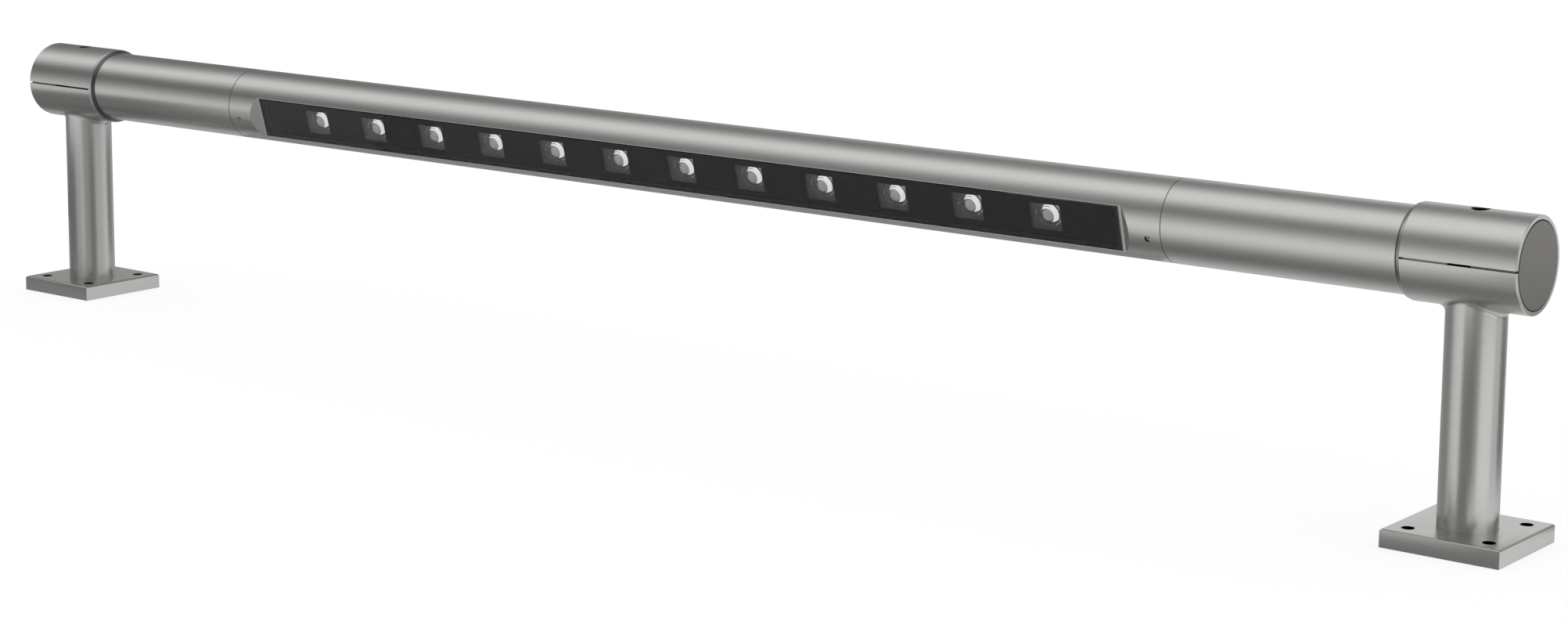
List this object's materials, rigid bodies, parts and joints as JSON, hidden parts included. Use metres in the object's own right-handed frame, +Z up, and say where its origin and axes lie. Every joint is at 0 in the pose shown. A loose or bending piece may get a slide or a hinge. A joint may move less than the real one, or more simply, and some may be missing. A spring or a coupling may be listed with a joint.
{
  "type": "balustrade light",
  "caption": "Handrail tube on square-footed posts, with a long glazed row of lenses let into its front; the rail turns in split clamps to aim the light.",
  "frame": {"origin": "on the ground, midway between the posts, under the rail's axis", "axes": "+X along the rail to the right end, +Z up, the lit window faces -Y and a little down"},
  "size_m": [1.221, 0.071, 0.1875],
  "materials": {
    "brushed_steel": "satin brushed stainless steel",
    "plug_steel": "matte turned stainless steel",
    "screw_steel": "plain stainless screws",
    "aluminium": "mill finish",
    "cover_glass": "clear polished",
    "rubber": "matte black",
    "mask_black": "matte black",
    "board": "black solder resist",
    "connector": "moulded",
    "lens": "clear moulded",
    "led": "phosphor under a clear dome",
    "lead": "insulated wire",
    "driver": "potted"
  },
  "bodies": {
    "stand": {"base_plate_left": "brushed_steel", "base_plate_right": "brushed_steel", "clamp_cap_left": "brushed_steel", "clamp_cap_right": "brushed_steel", "clamp_collar_left": "brushed_steel", "clamp_collar_right": "brushed_steel", "clamp_saddle_left": "brushed_steel", "clamp_saddle_right": "brushed_steel", "clamp_screws": "screw_steel", "end_plug_left": "plug_steel", "end_plug_right": "plug_steel", "end_plug_seal_left": "rubber", "end_plug_seal_right": "rubber", "post_left": "brushed_steel", "post_right": "brushed_steel"},
    "rail": {"board_connector": "connector", "board_screws": "screw_steel", "circuit_board": "board", "coupling_left": "aluminium", "coupling_right": "aluminium", "cover_glass": "cover_glass", "driver": "driver", "glass_gasket": "rubber", "heat_sink": "aluminium", "inner_leads": "lead", "led_01": "led", "led_02": "led", "led_03": "led", "led_04": "led", "led_05": "led", "led_06": "led", "led_07": "led", "led_08": "led", "led_09": "led", "led_10": "led", "led_11": "led", "led_12": "led", "lens_01": "lens", "lens_02": "lens", "lens_03": "lens", "lens_04": "lens", "lens_05": "lens", "lens_06": "lens", "lens_07": "lens", "lens_08": "lens", "lens_09": "lens", "lens_10": "lens", "lens_11": "lens", "lens_12": "lens", "light_housing": "brushed_steel", "mask": "mask_black", "rail_tube_left": "brushed_steel", "rail_tube_right": "brushed_steel", "seam_gasket_left": "rubber", "seam_gasket_right": "rubber", "set_screws": "screw_steel", "tube_bung_left": "rubber", "tube_bung_right": "rubber"}
  },
  "joints": [
    {"name": "rail_turn", "type": "hinge", "parent": "stand", "child": "rail", "pos_m": [0, 0, 0.16], "axis": [1, 0, 0], "range_deg": [-15.5, 74.5]}
  ]
}
